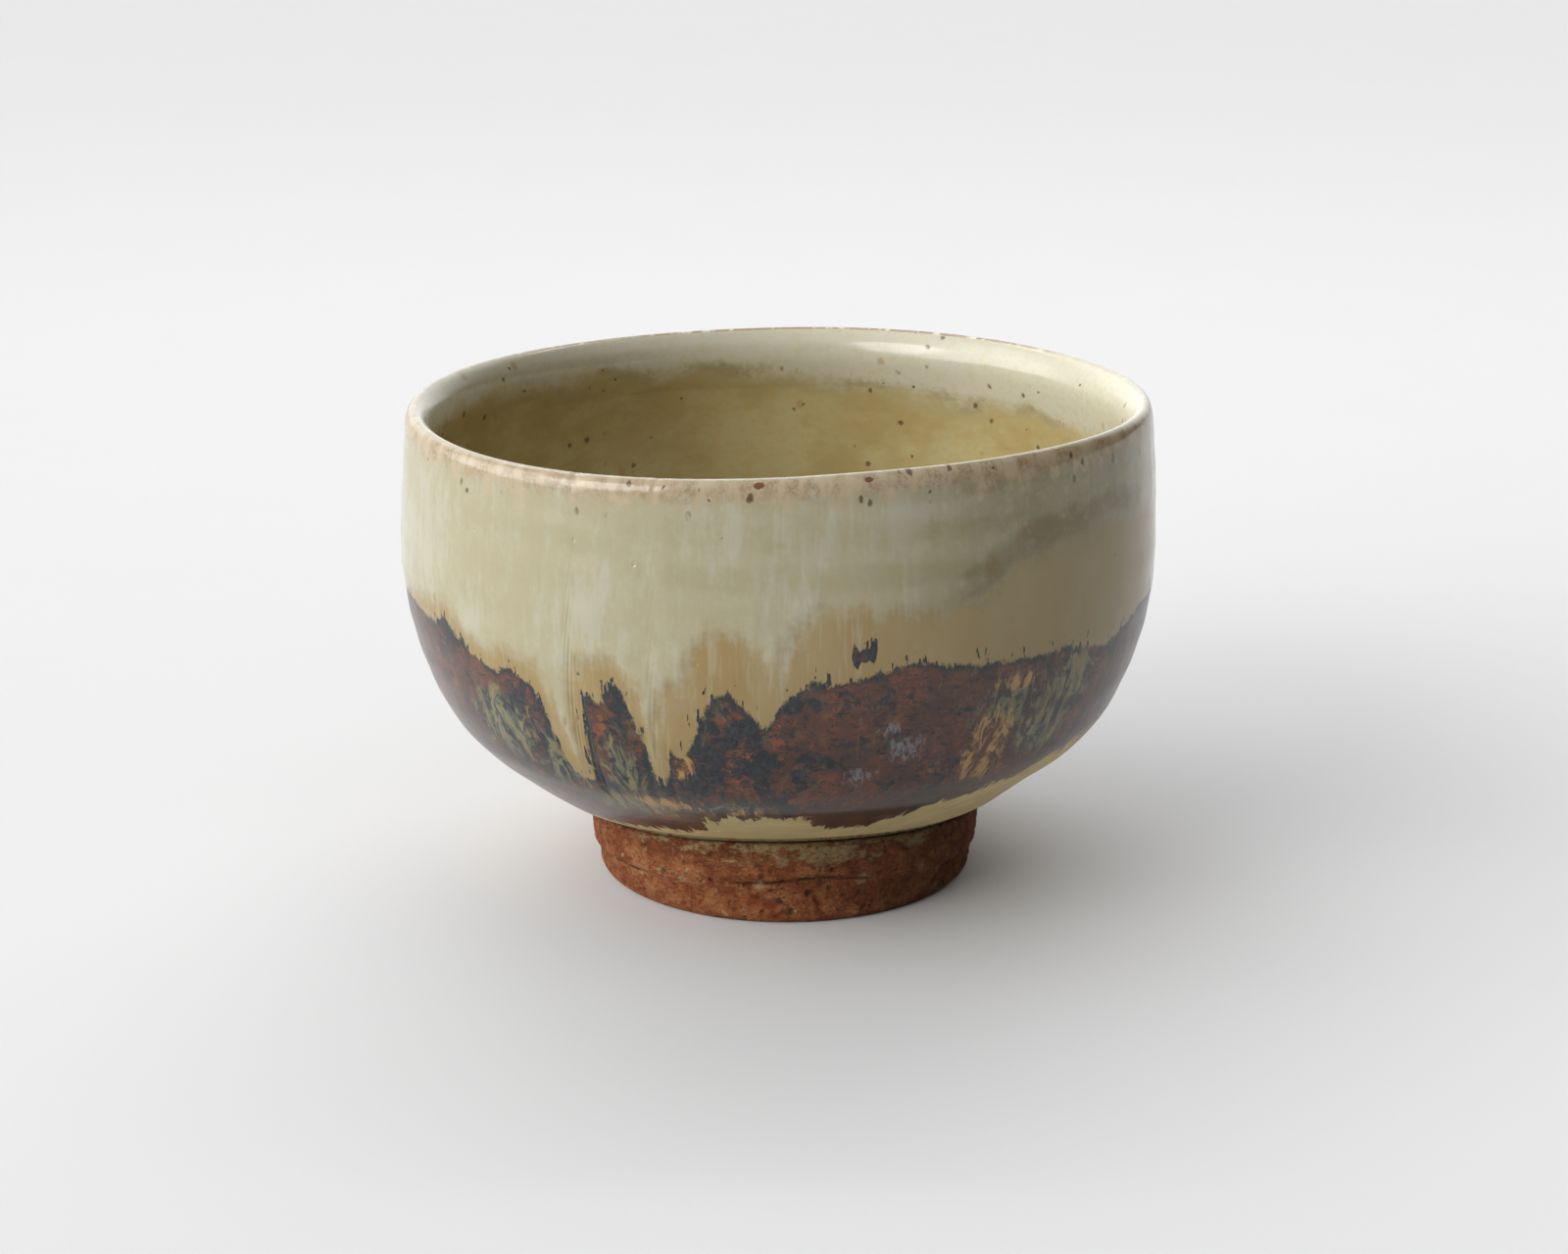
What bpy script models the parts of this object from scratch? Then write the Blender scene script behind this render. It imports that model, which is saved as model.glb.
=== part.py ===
"""Matcha bowl: a thrown stoneware tea bowl on a luted foot ring, with its coats of glaze.

Metres, +Z up. The origin is on the surface the foot stands on, under the middle of the bowl.
The clay bowl, the foot ring and every coat of glaze are separate closed solids.
"""

import math

import bmesh
import bpy

MM = 0.001

# Driving dimensions
HEIGHT = 79.2 * MM            # mean height of the lip
LIP_EDGE = HEIGHT - 0.7 * MM  # where its rounding turns into the wall
MAX_RADIUS = 60.0 * MM        # at the widest part of the wall, a little below the lip
GLAZE = 0.5 * MM              # thickness of one coat
GAP = 0.3 * MM                # between touching solids
CLAY_INSET = GLAZE + GAP      # how far the clay lies below the glazed surface

FOOT_RADIUS = 30.8 * MM       # outside of the foot where it stands
FOOT_RIDGE_RADIUS = 32.0 * MM
FOOT_HOLLOW_RADIUS = 25.6 * MM
FOOT_CHAMFER = 0.9 * MM
FOOT_SHIFT = 1.0 * MM         # the foot sits this far off the bowl's own axis

# Where one coat ends and the next begins: heights on the outside, and one on the inside
PALE_EDGE = 54.0 * MM
IRON_TOP = 48.0 * MM
IRON_BOTTOM = 19.0 * MM
LINING_EDGE = 62.0 * MM
SKIRT_RADIUS = 33.4 * MM      # the lowest coat stops short of the foot ring

SCREW_STEPS = 48
CURVE_STEPS = 2               # points to each stretch between two knots

# Knots of the glazed surface as (radius, height), from the foot joint up the outside to the lip
OUTSIDE = [
    (32.2 * MM, 12.7 * MM),
    (36.0 * MM, 14.3 * MM),
    (40.5 * MM, 17.5 * MM),
    (45.0 * MM, 21.0 * MM),
    (50.0 * MM, 25.1 * MM),
    (54.5 * MM, 30.6 * MM),
    (58.0 * MM, 39.2 * MM),
    (59.9 * MM, 48.7 * MM),
    (MAX_RADIUS, 57.5 * MM),
    (58.9 * MM, 68.5 * MM),
    (57.9 * MM, HEIGHT - 2.1 * MM),
]
# The rounded lip, and the inside down to the middle of the floor
LIP = [(57.4 * MM, LIP_EDGE), (56.3 * MM, HEIGHT), (55.1 * MM, LIP_EDGE)]
INSIDE = [
    (53.9 * MM, HEIGHT - 2.5 * MM),
    (53.3 * MM, 73.2 * MM),
    (54.5 * MM, 67.0 * MM),
    (56.0 * MM, 57.5 * MM),
    (55.5 * MM, 48.0 * MM),
    (53.0 * MM, 38.5 * MM),
    (48.0 * MM, 30.3 * MM),
    (41.0 * MM, 24.0 * MM),
    (31.0 * MM, 19.4 * MM),
    (17.0 * MM, 17.0 * MM),
    (0.0, 16.4 * MM),
]
# The bare underside of the clay bowl, from its middle out to the foot joint
UNDERSIDE = [(0.0, 9.4 * MM), (14.0 * MM, 9.7 * MM), (25.0 * MM, 10.9 * MM), (32.6 * MM, 12.8 * MM)]

# The throwing left the bowl slightly oval and its lip slightly wavy.
# Each wave is (waves around the lip, amplitude, angle of its crest in degrees).
RADIUS_WAVES = [(1, 0.4 * MM, -96), (2, 1.5 * MM, 9), (3, 1.2 * MM, -26)]
HEIGHT_WAVES = [(1, 0.55 * MM, 5), (2, 0.35 * MM, -20), (3, 0.3 * MM, 57)]
# The trimming left the foot joint wavy too. That wave is full at the joint and gone at the top.
JOINT_WAVES = [(1, 1.1 * MM, -56), (2, 1.4 * MM, 90)]
JOINT_WAVE_HEIGHT = 15.0 * MM
JOINT_WAVE_TOP = 30.0 * MM
SHIFT_BOTTOM = 13.5 * MM      # the foot's shift is full up to here
SHIFT_TOP = 20.0 * MM         # and gone from here up


def smooth_curve(knots, steps=CURVE_STEPS):
    """Points on a Catmull-Rom curve through the knots, with both ends kept."""
    padded = [knots[0], *knots, knots[-1]]
    points = []
    for before, start, end, after in zip(padded, padded[1:], padded[2:], padded[3:]):
        for step in range(steps):
            t = step / steps
            points.append(tuple(
                0.5 * (2 * s + (e - b) * t + (2 * b - 5 * s + 4 * e - a) * t**2 + (3 * s - b - 3 * e + a) * t**3)
                for b, s, e, a in zip(before, start, end, after)
            ))
    return points + [knots[-1]]


def height_at(curve, height):
    """The point where a rising or falling curve crosses a height."""
    for (r0, z0), (r1, z1) in zip(curve, curve[1:]):
        if z0 != z1 and min(z0, z1) <= height <= max(z0, z1):
            return (r0 + (r1 - r0) * (height - z0) / (z1 - z0), height)
    raise ValueError("the curve doesn't reach that height")


def stretch(curve, low, high):
    """The part of a rising curve between two heights, with its own end points."""
    inner = [point for point in curve if low < point[1] < high]
    return [height_at(curve, low), *inner, height_at(curve, high)]


def inset(curve, distance):
    """The curve moved by a distance to the right of its own direction."""
    moved = []
    for index, (radius, height) in enumerate(curve):
        r0, z0 = curve[max(index - 1, 0)]
        r1, z1 = curve[min(index + 1, len(curve) - 1)]
        length = math.hypot(r1 - r0, z1 - z0)
        moved.append((radius + distance * (z1 - z0) / length, height - distance * (r1 - r0) / length))
    return moved


def wave_sum(waves, angle):
    return sum(size * math.cos(count * (angle - math.radians(crest))) for count, size, crest in waves)


def hand_thrown(point):
    """Moves a point of the true turned shape to where the potter's hands left it."""
    angle = math.atan2(point.y, point.x)
    share = point.z / HEIGHT
    spread = 1 + share**2 * wave_sum(RADIUS_WAVES, angle) / MAX_RADIUS
    shift = min(max((SHIFT_TOP - point.z) / (SHIFT_TOP - SHIFT_BOTTOM), 0), 1)
    joint_up = point.z / JOINT_WAVE_HEIGHT
    joint_down = (JOINT_WAVE_TOP - point.z) / (JOINT_WAVE_TOP - JOINT_WAVE_HEIGHT)
    joint = max(min(joint_up, joint_down), 0) * min(math.hypot(point.x, point.y) / FOOT_RADIUS, 1)
    point.x = point.x * spread + FOOT_SHIFT * shift**2 * (3 - 2 * shift)
    point.y *= spread
    point.z += share**3 * wave_sum(HEIGHT_WAVES, angle) + joint * wave_sum(JOINT_WAVES, angle)


def new_material(name, colour, roughness, metallic=0.0):
    material = bpy.data.materials.new(name)
    material.use_nodes = True
    shader = material.node_tree.nodes["Principled BSDF"]
    shader.inputs["Base Color"].default_value = (*colour, 1)
    shader.inputs["Roughness"].default_value = roughness
    shader.inputs["Metallic"].default_value = metallic
    return material


def turned_piece(name, profile, material, parts, thickness=None):
    """Turns a profile of (radius, height) about Z. An open profile takes a thickness, inwards."""
    mesh = bpy.data.meshes.new(name)
    outline = bmesh.new()
    verts = [outline.verts.new((radius, 0, height)) for radius, height in profile]
    for start, end in zip(verts, verts[1:]):
        outline.edges.new((start, end))
    outline.to_mesh(mesh)
    outline.free()
    turned = bpy.data.objects.new(name, mesh)
    parts.objects.link(turned)

    screw = turned.modifiers.new("Turn", "SCREW")
    screw.steps = SCREW_STEPS
    screw.render_steps = SCREW_STEPS
    screw.use_merge_vertices = True
    screw.merge_threshold = 0.01 * MM
    if thickness:
        shell = turned.modifiers.new("Coat", "SOLIDIFY")
        shell.thickness = thickness
        shell.offset = -1
        shell.use_even_offset = True

    graph = bpy.context.evaluated_depsgraph_get()
    turned.data = bpy.data.meshes.new_from_object(turned.evaluated_get(graph))
    turned.modifiers.clear()
    bpy.data.meshes.remove(mesh)
    turned.data.name = name
    for vertex in turned.data.vertices:
        hand_thrown(vertex.co)
    turned.data.shade_smooth()
    turned.data.set_sharp_from_angle(angle=math.radians(40))
    turned.data.materials.clear()
    turned.data.materials.append(material)
    return turned


def glazed_outside():
    """The glazed surface as one curve, rising from the foot joint to the start of the lip."""
    return smooth_curve(OUTSIDE)


def glazed_inside():
    """The glazed surface inside, falling from the end of the lip to the middle of the floor."""
    return smooth_curve(INSIDE)


def make_clay_bowl(parts):
    """The thrown wall and floor, in full thickness where it is bare and thinner under glaze."""
    outside = [point for point in glazed_outside() if point[0] > SKIRT_RADIUS]
    skin = smooth_curve(INSIDE[::-1]) + LIP[::-1] + outside[::-1]
    profile = inset(skin, CLAY_INSET)
    profile[0] = (0.0, profile[0][1])
    profile += smooth_curve(UNDERSIDE)[::-1]
    clay = new_material("stoneware_clay", (0.36, 0.14, 0.07), 0.8)
    return turned_piece("clay_bowl", profile, clay, parts)


def make_foot_ring(parts):
    """The ring luted under the bowl: a ledge at its top, a straight wall and a flat bottom edge."""
    top = inset(smooth_curve(UNDERSIDE), GAP)
    top = [point for point in top if FOOT_HOLLOW_RADIUS - 2 * MM < point[0] < FOOT_RIDGE_RADIUS]
    wall = [
        (FOOT_RIDGE_RADIUS, 12.0 * MM),
        (FOOT_RIDGE_RADIUS + 0.2 * MM, 9.0 * MM),
        (FOOT_RIDGE_RADIUS - 0.2 * MM, 6.0 * MM),
        (FOOT_RADIUS + 0.2 * MM, 4.2 * MM),
        (FOOT_RADIUS, FOOT_CHAMFER),
        (FOOT_RADIUS - FOOT_CHAMFER, 0.0),
        (FOOT_HOLLOW_RADIUS + FOOT_CHAMFER, 0.0),
        (FOOT_HOLLOW_RADIUS, FOOT_CHAMFER),
    ]
    profile = top + wall + [top[0]]
    clay = new_material("foot_clay", (0.40, 0.14, 0.065), 0.85)
    return turned_piece("foot_ring", profile, clay, parts)


def make_pale_glaze(parts):
    """The pale coat: the upper outside, the lip and the upper inside."""
    outer = stretch(glazed_outside(), PALE_EDGE + GAP / 2, OUTSIDE[-1][1])
    inner = stretch(glazed_inside()[::-1], LINING_EDGE + GAP / 2, INSIDE[0][1])
    profile = inner + LIP[::-1] + outer[::-1]
    pale = new_material("pale_ash_glaze", (0.53, 0.49, 0.36), 0.25)
    return turned_piece("pale_rim_glaze", profile, pale, parts, GLAZE)


def make_lining(parts):
    """The coat inside the bowl, from below the pale coat down over the floor."""
    profile = stretch(glazed_inside()[::-1], INSIDE[-1][1], LINING_EDGE - GAP / 2)
    olive = new_material("olive_glaze", (0.38, 0.33, 0.17), 0.25)
    return turned_piece("inner_glaze", profile, olive, parts, GLAZE)


def make_outer_band(name, low, high, material, parts):
    """One coat round the outside between two heights."""
    profile = stretch(glazed_outside(), low + GAP / 2, high - GAP / 2)
    return turned_piece(name, profile[::-1], material, parts, GLAZE)


def make_outer_coats(parts):
    """The ochre band, the iron band under it and the ochre skirt above the foot."""
    ochre = new_material("ochre_ash_glaze", (0.40, 0.29, 0.13), 0.25)
    iron = new_material("iron_glaze", (0.10, 0.045, 0.035), 0.2)
    skirt = new_material("buff_glaze", (0.42, 0.33, 0.17), 0.35)
    skirt_edge = next(height for radius, height in glazed_outside() if radius > SKIRT_RADIUS)
    make_outer_band("ochre_glaze", IRON_TOP, PALE_EDGE, ochre, parts)
    make_outer_band("iron_glaze", IRON_BOTTOM, IRON_TOP, iron, parts)
    make_outer_band("skirt_glaze", skirt_edge, IRON_BOTTOM, skirt, parts)


def main():
    for old in list(bpy.data.objects):
        bpy.data.objects.remove(old, do_unlink=True)
    parts = bpy.data.collections.new("matcha_bowl")
    bpy.context.scene.collection.children.link(parts)
    make_clay_bowl(parts)
    make_foot_ring(parts)
    make_lining(parts)
    make_pale_glaze(parts)
    make_outer_coats(parts)


main()
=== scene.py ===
"""Looks of the matcha bowl: the hand-thrown surface, its coats of glaze and its bare foot."""
import math

import bpy
import numpy as np
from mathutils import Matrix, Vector, noise


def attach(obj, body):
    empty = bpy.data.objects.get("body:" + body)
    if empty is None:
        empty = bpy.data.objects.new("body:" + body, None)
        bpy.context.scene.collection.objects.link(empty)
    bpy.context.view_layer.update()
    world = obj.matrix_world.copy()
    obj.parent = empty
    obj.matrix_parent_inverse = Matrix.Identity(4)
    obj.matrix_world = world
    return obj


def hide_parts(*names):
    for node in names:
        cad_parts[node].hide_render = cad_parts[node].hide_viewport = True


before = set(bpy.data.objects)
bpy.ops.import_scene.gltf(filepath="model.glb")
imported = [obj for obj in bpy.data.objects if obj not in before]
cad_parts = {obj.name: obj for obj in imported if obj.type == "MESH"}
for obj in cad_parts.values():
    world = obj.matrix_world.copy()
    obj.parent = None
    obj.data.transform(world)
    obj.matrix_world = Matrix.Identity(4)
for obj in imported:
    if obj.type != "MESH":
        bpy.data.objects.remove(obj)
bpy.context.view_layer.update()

MM = 0.001

# --- The bowl's form, as the CAD model has it: (radius, height) knots and waves, in mm ----
HEIGHT = 79.2
MAX_RADIUS = 60.0
CLAY_INSET = 0.8              # how far the clay lies below the glazed surface
SKIRT_RADIUS = 33.4           # where the lowest coat ends
OUTSIDE = [(32.2, 12.7), (36.0, 14.3), (40.5, 17.5), (45.0, 21.0), (50.0, 25.1), (54.5, 30.6),
           (58.0, 39.2), (59.9, 48.7), (60.0, 57.5), (58.9, 68.5), (57.9, 77.1)]
LIP = [(57.4, 78.5), (56.3, 79.2), (55.1, 78.5)]
INSIDE = [(53.9, 76.7), (53.3, 73.2), (54.5, 67.0), (56.0, 57.5), (55.5, 48.0), (53.0, 38.5), (48.0, 30.3),
          (41.0, 24.0), (31.0, 19.4), (17.0, 17.0), (0.0, 16.4)]
UNDERSIDE = [(32.6, 12.8), (25.0, 10.9), (14.0, 9.7), (0.0, 9.4)]
FOOT = [(25.6, 10.8), (25.6, 0.9), (26.5, 0.0), (29.9, 0.0), (30.8, 0.9), (31.0, 4.2), (31.8, 6.0),
        (32.2, 9.0), (32.0, 11.9), (31.3, 12.2), (25.6, 10.8)]
RADIUS_WAVES = [(1, 0.4, -96), (2, 1.5, 9), (3, 1.2, -26)]
HEIGHT_WAVES = [(1, 0.55, 5), (2, 0.35, -20), (3, 0.3, 57)]
JOINT_WAVES = [(1, 1.1, -56), (2, 1.4, 90)]
JOINT_WAVE_HEIGHT = 15.0
JOINT_WAVE_TOP = 30.0
FOOT_RADIUS = 30.8
FOOT_SHIFT = 1.0
SHIFT_BOTTOM = 13.5
SHIFT_TOP = 20.0

# --- Where each glaze ends: (degrees from the front, height in mm). Positive degrees are to the right ----
PALE_LINE = [(-180, 55), (-150, 50), (-125, 57), (-100, 52), (-85, 52), (-68, 52.5), (-57, 53.5),
             (-50, 49.5), (-42, 48.7), (-38, 47.7), (-36, 45), (-34.4, 40), (-33.2, 34.5), (-32, 32),
             (-31.2, 36), (-30.6, 44), (-29.5, 50), (-24.3, 51), (-22.3, 48.5), (-21, 45), (-20, 40),
             (-19.2, 35), (-18.4, 36), (-17.8, 42), (-16, 47), (-13.5, 49), (-11.5, 54), (-8.5, 56),
             (-5.5, 56), (-3, 54), (-1.2, 50.5), (-0.2, 48), (1, 52), (3.5, 58), (7, 60.3), (10, 58.8),
             (15, 57.8), (24, 58.3), (30, 60), (33, 62.3), (40, 65.4), (48, 66), (58, 67), (68, 65),
             (90, 62), (115, 57), (140, 63), (165, 58), (180, 55)]
IRON_LINE = [(-180, 47), (-150, 44), (-125, 49), (-100, 46), (-85, 51), (-68, 51), (-60, 50), (-57, 52),
             (-54, 49.5), (-50, 47.5), (-46, 46), (-42, 47.2), (-38.5, 45.5), (-36.2, 42), (-35.3, 35),
             (-34.5, 31), (-32, 29), (-30, 31), (-29.4, 40), (-28.8, 46), (-26.5, 44.5), (-24.3, 49),
             (-22.3, 45), (-20.5, 41), (-19.8, 34), (-18.7, 30), (-17.2, 31.5), (-16.3, 38),
             (-14.9, 36), (-13.3, 38.2), (-12.2, 41), (-10, 46.3), (-7, 48.2), (-5.2, 46), (-3.7, 43.3),
             (-1.8, 42), (0.2, 46.2), (3.2, 47.8), (4.5, 49.5), (8, 48.8), (12, 49.4), (16, 50.8),
             (21, 51.4), (26, 50.3), (39, 49), (46, 49.3), (56, 47), (60, 47.8), (68, 50.3), (85, 50),
             (110, 46), (135, 50), (160, 46), (180, 47)]
SKIRT_LINE = [(-180, 24), (-150, 26), (-120, 22), (-95, 24), (-75, 20), (-60, 16.5), (-48, 15.6),
              (-32, 15.6), (-22, 16), (-17.5, 17), (-14.5, 20), (-12, 22), (-9, 23), (-4, 22),
              (1, 22.6), (4, 22), (6.5, 19.4), (11, 17.4), (17, 17.4), (21, 18.8), (25, 20.4),
              (31, 23.6), (37, 25), (44, 27), (52, 29.4), (62, 30.5), (75, 30), (100, 25), (130, 22),
              (155, 26), (180, 24)]
LEAST_OCHRE = 0.6             # the ochre band is at least this wide
LINING_HEIGHT = 71.0          # where the pale coat ends inside

# Where the pale band inside ends: (degrees from the front, mm down from the crest of the lip)
LINING_LINE = [(-180, 9.5), (-168, 7.5), (-158, 8.5), (-143, 6.3), (-137, 8), (-130, 6.3), (-120, 7),
               (-112, 6.3), (-90, 7), (-60, 9), (0, 11), (60, 12), (95, 13), (110, 13.5), (125, 11),
               (133, 12.5), (153, 11.5), (168, 10.5), (180, 9.5)]

# --- Patches that the fire left different: (degrees from the front, height, (half width, half height)) ----
IRON_MARK = [(12.2, 53.0, (1.9, 2.0)), (13.5, 53.4, (0.8, 3.2)), (10.9, 53.2, (0.8, 3.4))]
BLOOMS = [(19.5, 37.2, (6, 5)), (12.5, 33.2, (5, 3.6)), (16.5, 41, (3, 2.4)), (-110, 36, (9, 6)),
          (150, 38, (8, 6))]
OCHRE_RUNS = [(34, 38, (5.5, 6)), (33.5, 33, (7, 6)), (37, 45.5, (7, 2)), (-14.5, 35, (2, 5)),
              (-19, 26, (9, 3.5)), (-6, 24.5, (6, 3)), (96, 36, (9, 5)), (104, 31, (8, 5)),
              (-146, 33, (10, 4)), (-136, 37, (6, 5))]
GREEN_RUNS = [(37, 42, (12, 8)), (50, 44, (10, 7)), (44, 36, (9, 7)), (-46, 37, (10, 10)),
              (-36, 32, (7, 10)), (-25, 33, (4.5, 10)), (-25, 24, (17, 8)), (-7, 24, (11, 7)),
              (112, 36, (22, 11)), (-142, 35, (20, 11)), (-166, 33, (14, 7))]
RUST_SPOTS = [(-2.8, 78.2, (1.3, 1.1)), (13.5, 78.2, (1.2, 0.9)), (-17, 78.1, (0.7, 0.6)),
              (33, 77.9, (0.6, 0.6))]

# --- Relief of the glazed surface, in mm --------------------------------------
GLAZE_LEVEL = 0.14            # how far thick glaze lies below the CAD surface
THIN_GLAZE = 0.22             # how much deeper thin glaze lies
LEAST_DEPTH = 0.03
MOST_DEPTH = 0.6
RING_SPACING = 6.2            # the potter's finger marks
RING_DEPTH = 0.035
UNEVEN_DEPTH = 0.03
STREAK_DEPTH = 0.02           # the runs in the pale glaze
SPIRAL_DEPTH = 0.04           # the finger spiral in the middle of the inside

# --- Marks on the bare clay, in mm --------------------------------------------
TRIM_SPACING = 3.4            # the spiral that the trimming tool left under the bowl
TRIM_DEPTH = 0.3
FOOT_HOLLOW = 25.6
FOOT_SKIN = 0.4               # points of the foot this near its outer radius are on its wall
RIDGE_LEVEL = 5.4             # the trimmed ridge round the foot
RIDGE_SIZE = 0.34
CRACK_DEPTH = 0.6
CHATTER_SPACING = 1.1         # fine lines that the trimming tool left on the foot
CHATTER_DEPTH = 0.05
FOOT_SUNK = 0.15              # how far the whole wall of the foot lies in, so that its grain stands on it
MOST_PROUD = 0.2

# --- Fineness of the meshes ---------------------------------------------------
CURVE_STEPS = 24              # points between two knots of a curve
OUTLINE_STEP = 0.1
OUTLINE_SOFTNESS = 4          # points over which the corners of the outline are rounded
CLAY_THINNING = 12            # the clay needs only one in so many points of the outline
LINE_REACH = 20               # columns to each side in which the nearest point of a line is looked for
COLUMNS = 640
ROW_COUNTS = {"skirt": 14, "iron": 46, "ochre": 18, "pale": 84, "lining": 110}
BACK_ROWS = 4                 # rows on the hidden side of a coat
BACK_DEPTH = 0.7              # how far that side lies below the CAD surface
FOOT_COLUMNS = 720
FOOT_STEP = 0.35
CLAY_COLUMNS = 240
CLAY_STEP = 1.2
ROLLED_RADIUS = 55.0          # the wall is unrolled at this radius to measure distances on it
FAR = 99.0                    # well outside a patch
CENTRE_RADIUS = 0.6           # radius of the last ring before the middle of a turned surface

# Each coat: (name of its piece, its band of rows, CAD node, slot)
COATS = [("ash_lining", "lining", "inner_glaze", "olive_glaze"),
         ("pale_ash_coat", "pale", "pale_rim_glaze", "pale_ash_glaze"),
         ("ochre_coat", "ochre", "ochre_glaze", "ochre_ash_glaze"),
         ("iron_coat", "iron", "iron_glaze", "iron_glaze"),
         ("buff_skirt_coat", "skirt", "skirt_glaze", "buff_glaze")]

# --- Colours, as linear red, green and blue -----------------------------------
PALE = (0.348, 0.324, 0.223)
PALE_WARM = (0.324, 0.291, 0.182)
PALE_THICK = (0.372, 0.356, 0.271)
OCHRE = (0.279, 0.211, 0.0972)
OCHRE_DEEP = (0.256, 0.176, 0.066)
OCHRE_RUN = (0.36, 0.205, 0.07)
IRON_RED = (0.135, 0.046, 0.023)
IRON_BROWN = (0.062, 0.028, 0.019)
IRON_ORANGE = (0.25, 0.072, 0.02)
IRON_BLACK = (0.010, 0.012, 0.014)
IRON_SLATE = (0.022, 0.031, 0.040)
GREEN = (0.125, 0.13, 0.07)
BLOOM = (0.17, 0.18, 0.205)
SKIRT = (0.50, 0.385, 0.18)
SKIRT_GREEN = (0.41, 0.32, 0.145)
LINING_PALE = (0.46, 0.435, 0.335)
LINING_BROWN = (0.20, 0.15, 0.065)
OLIVE = (0.389, 0.337, 0.171)
OLIVE_DEEP = (0.323, 0.255, 0.109)
OLIVE_WARM = (0.40, 0.27, 0.10)
LIP_SAND = (0.40, 0.31, 0.20)
LIP_BROWN = (0.22, 0.135, 0.06)
LIP_PALE = (0.36, 0.30, 0.215)
RUST = (0.13, 0.05, 0.02)
# The two khaki colours: the glaze's own mottling at the right, made darker to paint the shade on that side.
KHAKI_AND_SHADE = (0.185, 0.165, 0.088)
KHAKI_BROWN_AND_SHADE = (0.15, 0.108, 0.04)
LIP_LINE = (0.17, 0.08, 0.03)
RUST_HALO = (0.30, 0.14, 0.04)
SPECK = (0.07, 0.04, 0.018)
FOOT_CLAY = (0.37, 0.125, 0.042)
FOOT_CLAY_DEEP = (0.22, 0.06, 0.019)
CLAY = (0.42, 0.17, 0.085)
CLAY_DEEP = (0.32, 0.12, 0.055)
CLAY_DARK = (0.12, 0.035, 0.013)
CLAY_BRIGHT = (0.46, 0.17, 0.065)
# Dark burnt iron specks in the clay; the same colour paints the shade in the pits, in the crack and down
# the right side of the foot.
CLAY_BURNT_AND_SHADE = (0.05, 0.025, 0.015)
GROG = (0.42, 0.31, 0.17)
FLOOR = (0.60, 0.60, 0.603)
FLOOR_SHADE = (0.59, 0.59, 0.593)
GLAZE_IOR = 1.5

# --- Studio -------------------------------------------------------------------
FLOOR_SIZE = 40.0             # metres
DOME_DIM = 0.01               # strength of the dome between its soft lights

# Soft lights on the dome: (degrees from the front, degrees up, cosine of the angle to its edge, cosine of
# the angle to its core, strength)
DOME_LIGHTS = [(-80, 14, 0.78, 0.99, 3.6),
               (-92, 22, 0.30, 0.95, 1.3),
               (-47, 26, 0.950, 0.972, 5.5),
               (180, 30, 0.60, 0.98, 1.85),
               (28, 60, 0.60, 0.98, 0.60),
               (0, 88, 0.60, 0.98, 0.12)]
DOME_TINT = (1.0, 1.0, 1.0)

# Softboxes: (name, place in metres, (width, depth) in metres, watts)
SOFTBOXES = [("back_strip", (0.0, 0.50, 0.75), (0.90, 0.05), 1.3)]
SOFTBOX_AIM = (0, 0, 0.05)

CAMERA_AIM = (0.81, 0.0, 39.8)
CAMERA_ELEVATION = 17.04      # degrees
CAMERA_DISTANCE = 480.0
LENS = 67.2


# === Form =====================================================================
def catmull_rom(knots):
    """Points on a smooth curve through the knots, with both ends kept."""
    knots = np.array(knots, float)
    padded = np.vstack([knots[:1], knots, knots[-1:]])
    t = (np.arange(CURVE_STEPS) / CURVE_STEPS)[:, None]
    pieces = []
    for before, start, end, after in zip(padded, padded[1:], padded[2:], padded[3:]):
        bend = 2 * before - 5 * start + 4 * end - after
        twist = 3 * start - before - 3 * end + after
        pieces.append(0.5 * (2 * start + (end - before) * t + bend * t**2 + twist * t**3))
    return np.vstack([*pieces, knots[-1:]])


def arc_lengths(points):
    """How far along the outline each of its points lies."""
    return np.concatenate([[0], np.cumsum(np.hypot(*np.diff(points, axis=0).T))])


def evenly_spaced(points, step):
    """The same outline with its points a step apart."""
    lengths = arc_lengths(points)
    count = max(int(round(lengths[-1] / step)), 2)
    wanted = np.linspace(0, lengths[-1], count + 1)
    return np.stack([np.interp(wanted, lengths, points[:, axis]) for axis in (0, 1)], axis=1)


def softened(points, reach):
    """The outline with its corners rounded over a number of points. Both ends stay where they are."""
    weights = np.exp(-0.5 * (np.arange(-3 * reach, 3 * reach + 1) / reach) ** 2)
    weights /= weights.sum()
    pad = 3 * reach
    before = 2 * points[0] - points[pad:0:-1]
    after = 2 * points[-1] - points[-2:-pad - 2:-1]
    padded = np.vstack([before, points, after])
    return np.stack([np.convolve(padded[:, axis], weights, "valid") for axis in (0, 1)], axis=1)


def skin_outline():
    """The glazed surface from the foot joint up the outside, over the lip and down inside to the centre."""
    outside = catmull_rom(OUTSIDE)
    lip = catmull_rom([OUTSIDE[-1], *LIP, INSIDE[0]])[1:-1]
    inside = catmull_rom(INSIDE)
    return softened(evenly_spaced(np.vstack([outside, lip, inside]), OUTLINE_STEP), OUTLINE_SOFTNESS)


def wave_sum(waves, angle):
    """The sum of waves round the bowl, each as (number of crests, size, degrees of a crest)."""
    return sum(size * np.cos(count * (angle - math.radians(crest))) for count, size, crest in waves)


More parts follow.
